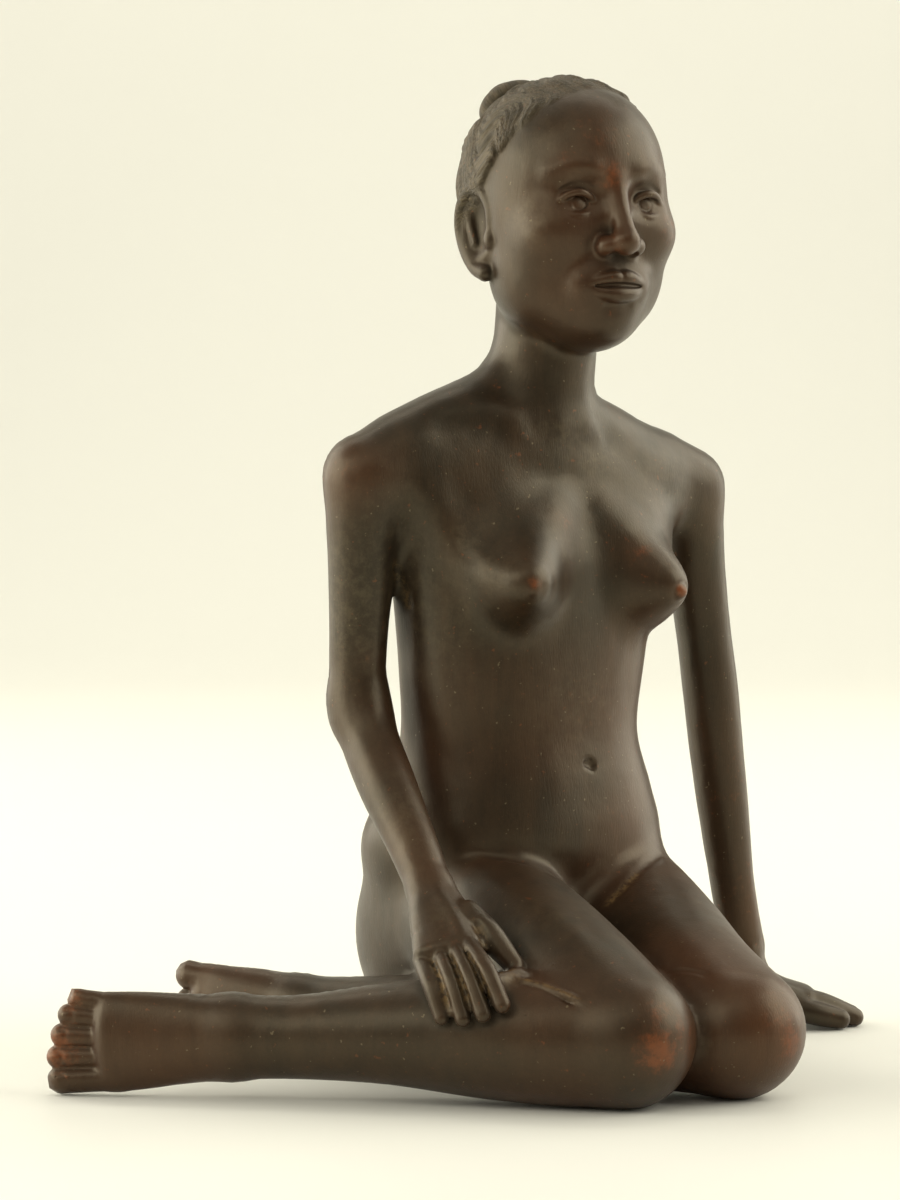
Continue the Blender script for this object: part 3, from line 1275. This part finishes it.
def dark_wood():
    """Oiled dark wood: grain along the figure, open pores, rust where it is rubbed."""
    tree = Tree("dark_wood")
    place = tree.node("ShaderNodeTexCoord").outputs["Object"]
    hair = tree.attribute("hair")
    combed = tree.node("ShaderNodeAttribute", attribute_name="combed").outputs["Vector"]
    lines = tree.times(tree.ramp(tree.noise(combed, *STRAND_LINES), 0.3, 0.7), hair)
    closed = tree.ramp(tree.attribute("hollow"), 0.25, 0.9)
    grain = tree.noise(tree.stretch(place, GRAIN_DRAWN), *GRAIN)
    cloud = tree.noise(place, *CLOUDS)
    patch = tree.noise(place, *PATCHES)
    tone = tree.plus(tree.times(grain, GRAIN_SHARE), tree.times(cloud, CLOUD_SHARE))
    tone = tree.plus(tone, tree.times(tree.noise(place, *MOTTLE), MOTTLE_SHARE))
    colour = tree.mix(tree.ramp(tone, 0.36, 0.66), DEEP_BROWN, WARM_BROWN)
    colour = tree.mix(tree.times(tree.ramp(patch, 0.42, 0.66), RED_SHARE), colour, RUST)
    worn = tree.attribute("worn")
    scuffs = tree.times(tree.noise(place, *SCUFFS), SCUFF_STRENGTH)
    rubbed = tree.ramp(tree.plus(worn, scuffs), 1, 1.65)
    rubbed = tree.plus(tree.times(worn, WORN_STRENGTH), rubbed)
    colour = tree.mix(rubbed, colour, RUST)
    bloom = tree.ramp(tree.noise(place, *BLOOM), 0.38, 0.7)
    dusted = tree.times(tree.times(tree.attribute("dusty"), bloom), DUST_SHARE)
    colour = tree.mix(dusted, colour, DUST)
    colour = tree.mix(tree.times(lines, STRAND_SHARE), colour, DUST)
    gaps = tree.times(tree.ramp(tree.noise(combed, *LOCK_GAPS), 0.44, 0.6), hair)
    colour = tree.mix(tree.times(gaps, GAP_SHARE), colour, SHADE)
    colour = tree.mix(tree.times(closed, HOLLOW_SHARE), colour, SHADE)
    raw = tree.ramp(tree.noise(place, *RAW_FLECKS), 0.4, 0.6)
    colour = tree.mix(tree.times(tree.attribute("bare"), raw), colour, RAW_WOOD)
    specks = tree.ramp(tree.noise(place, *PALE_SPECKS), 0.74, 0.79)
    colour = tree.mix(tree.times(specks, SPECK_SHARE), colour, DUST)
    flecks = tree.ramp(tree.noise(place, *RUST_FLECKS), 0.68, 0.76)
    colour = tree.mix(tree.times(flecks, FLECK_SHARE), colour, RUST)
    tree.put(tree.shader.inputs["Base Color"], colour)
    rough = tree.plus(RUBBED_ROUGHNESS, tree.times(tree.noise(place, *GLOSS), GLOSS_ROUGHNESS))
    rough = tree.plus(rough, tree.times(closed, HOLLOW_ROUGHNESS))
    rough = tree.plus(rough, tree.times(hair, HAIR_ROUGHNESS))
    tree.put(tree.shader.inputs["Roughness"], rough)
    tree.put(tree.shader.inputs["Specular Tint"], POLISH_TINT)
    pores = tree.noise(tree.stretch(place, PORES_DRAWN), *PORES)
    normal = tree.bump(tree.noise(place, *KNIFE_WAVES), KNIFE_DEPTH)
    normal = tree.bump(tree.ramp(pores, 0.3, 0.62), PORE_DEPTH, normal)
    normal = tree.bump(lines, STRAND_DEPTH, normal)
    tree.put(tree.shader.inputs["Normal"], normal)
    return tree.material


FLOOR_COLOUR, FLOOR_ROUGHNESS = (0.81, 0.815, 0.77, 1), 0.55


def plain_floor():
    tree = Tree("pale_floor")
    tree.put(tree.shader.inputs["Base Color"], FLOOR_COLOUR)
    tree.put(tree.shader.inputs["Roughness"], FLOOR_ROUGHNESS)
    return tree.material


# The sweep, in metres: half its width, its reach before and behind the figure, its height and
# the radius of its bend, which is made of this many steps.
SWEEP_HALF, SWEEP_BEFORE, SWEEP_BEHIND, SWEEP_HEIGHT, SWEEP_BEND = 4, 2.2, 2.5, 3, 1.1
BEND_STEPS = 12


def floor():
    """A pale sweep: a floor that curves up into a wall behind the figure."""
    way = np.array([math.sin(CAMERA_TURN), math.cos(CAMERA_TURN)])
    across = np.array([way[1], -way[0]])
    bend, flat = SWEEP_BEND, SWEEP_BEHIND - SWEEP_BEND
    profile = [(-SWEEP_BEFORE, 0.0), (flat, 0.0)]
    for i in range(1, BEND_STEPS + 1):
        angle = 0.5 * math.pi * i / BEND_STEPS
        profile.append((flat + bend * math.sin(angle), bend - bend * math.cos(angle)))
    profile.append((SWEEP_BEHIND, SWEEP_HEIGHT))
    verts, faces = [], []
    for far, high in profile:
        for s in BOTH:
            spot = way * far + across * SWEEP_HALF * s
            verts.append((*spot, high))
    for i in range(len(profile) - 1):
        a = 2 * i
        faces.append((a, a + 1, a + 3, a + 2))
    mesh = bpy.data.meshes.new("floor")
    mesh.from_pydata(verts, [], faces)
    mesh.polygons.foreach_set("use_smooth", np.ones(len(mesh.polygons), bool))
    made = bpy.data.objects.new("floor", mesh)
    bpy.context.scene.collection.objects.link(made)
    mesh.materials.append(plain_floor())


# The camera, in millimetres in the figure's own frame. It stands this far to her right of
# straight ahead; then its distance, its shift to the right and its height.
CAMERA_TURN = math.radians(35)
CAMERA_DISTANCE, CAMERA_SIDE, CAMERA_HEIGHT = 1050, -8.5, 170
# The lens and the downward tilt, as pixels of the photograph's frame, and the sensor's height.
FRAME_HEIGHT = 1200
FOCAL_PIXELS, PITCH_PIXELS = 4090, 205
SENSOR = 36
NEAREST_SEEN = 0.05


def camera(offset):
    right = Vector((math.cos(CAMERA_TURN), -math.sin(CAMERA_TURN), 0))
    back = Vector((-math.sin(CAMERA_TURN), -math.cos(CAMERA_TURN), 0))
    place = back * CAMERA_DISTANCE + right * CAMERA_SIDE + Vector((0, 0, CAMERA_HEIGHT))
    pitch = math.atan(PITCH_PIXELS / FOCAL_PIXELS)
    aim = -back * math.cos(pitch) - Vector((0, 0, math.sin(pitch)))
    data = bpy.data.cameras.new("camera")
    data.sensor_fit = "VERTICAL"
    data.sensor_height = SENSOR
    data.lens = FOCAL_PIXELS / FRAME_HEIGHT * SENSOR
    data.clip_start = NEAREST_SEEN
    made = bpy.data.objects.new("camera", data)
    made.rotation_euler = aim.to_track_quat("-Z", "Y").to_euler()
    made.location = place * MM + offset
    bpy.context.scene.collection.objects.link(made)
    bpy.context.scene.camera = made


# The surround: what lights the figure, and what the camera sees beyond the sweep.
ROOM_COLOUR, ROOM_GLOW = (1, 0.95, 0.82, 1), 0.13
SEEN_COLOUR, SEEN_GLOW = (1, 0.965, 0.84, 1), 1.0
# Lights: name, place, size, watts, and what each is turned to. Places are in metres to the
# right of the camera's line, toward the camera and up.
LIGHT_COLOUR = (1, 0.955, 0.82)
FIGURE = (0, 0, 0.12)
WALL = (0, -2.4, 0.6)
LIGHTS = [
    ("right_window", (1.25, 0.15, 0.8), (0.9, 1.2), 13.5, FIGURE),
    ("right_back", (1.1, -0.7, 0.6), (0.8, 1.2), 10, FIGURE),
    ("left_window", (-1.25, 0.15, 0.45), (0.9, 0.9), 13, FIGURE),
    ("left_back", (-1.1, -0.7, 0.6), (0.8, 1.2), 11, FIGURE),
    ("left_front", (-0.9, 1, 0.9), (0.8, 0.8), 5, FIGURE),
    ("front", (0, 1.2, 1.4), (1.2, 0.8), 3, FIGURE),
    ("overhead", (0.1, 0.1, 1.7), (1.6, 1.4), 2.4, FIGURE),
    ("backdrop", (0, -1.1, 2.2), (3, 0.8), 37, WALL),
]


def soft_light(name, place, size, power, target):
    data = bpy.data.lights.new(name, "AREA")
    data.shape = "RECTANGLE"
    data.size, data.size_y = size
    data.energy = power
    data.color = LIGHT_COLOUR
    made = bpy.data.objects.new(name, data)
    made.location = place
    made.rotation_euler = (target - place).to_track_quat("-Z", "Y").to_euler()
    bpy.context.scene.collection.objects.link(made)


def studio():
    """A pale surround that the camera sees bright, and soft lights from the sides and above."""
    world = bpy.data.worlds.new("studio")
    world.use_nodes = True
    nodes, links = world.node_tree.nodes, world.node_tree.links
    room = nodes["Background"]
    room.inputs["Color"].default_value = ROOM_COLOUR
    room.inputs["Strength"].default_value = ROOM_GLOW
    seen = nodes.new("ShaderNodeBackground")
    seen.inputs["Color"].default_value = SEEN_COLOUR
    seen.inputs["Strength"].default_value = SEEN_GLOW
    either = nodes.new("ShaderNodeMixShader")
    links.new(nodes.new("ShaderNodeLightPath").outputs["Is Camera Ray"], either.inputs[0])
    links.new(room.outputs[0], either.inputs[1])
    links.new(seen.outputs[0], either.inputs[2])
    links.new(either.outputs[0], nodes["World Output"].inputs["Surface"])
    bpy.context.scene.world = world
    bpy.context.scene.view_settings.view_transform = "Standard"
    turn = Matrix.Rotation(-CAMERA_TURN, 3, "Z")

    def spot(across, toward, high):
        return turn @ Vector((across, -toward, high))

    for name, place, size, power, target in LIGHTS:
        soft_light(name, spot(*place), size, power, spot(*target))


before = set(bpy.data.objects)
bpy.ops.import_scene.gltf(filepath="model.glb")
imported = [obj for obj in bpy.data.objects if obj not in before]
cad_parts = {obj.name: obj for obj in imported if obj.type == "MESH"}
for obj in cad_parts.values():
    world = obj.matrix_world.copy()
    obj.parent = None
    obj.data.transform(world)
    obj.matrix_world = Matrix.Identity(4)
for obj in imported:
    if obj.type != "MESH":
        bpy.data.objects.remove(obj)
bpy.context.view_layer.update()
piece = carved_figure()
piece.data.materials.append(dark_wood())
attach(piece, "root")
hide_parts("figure")
floor()
camera(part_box("figure")[0] - Vector(SOLID_LOW) * MM)
studio()
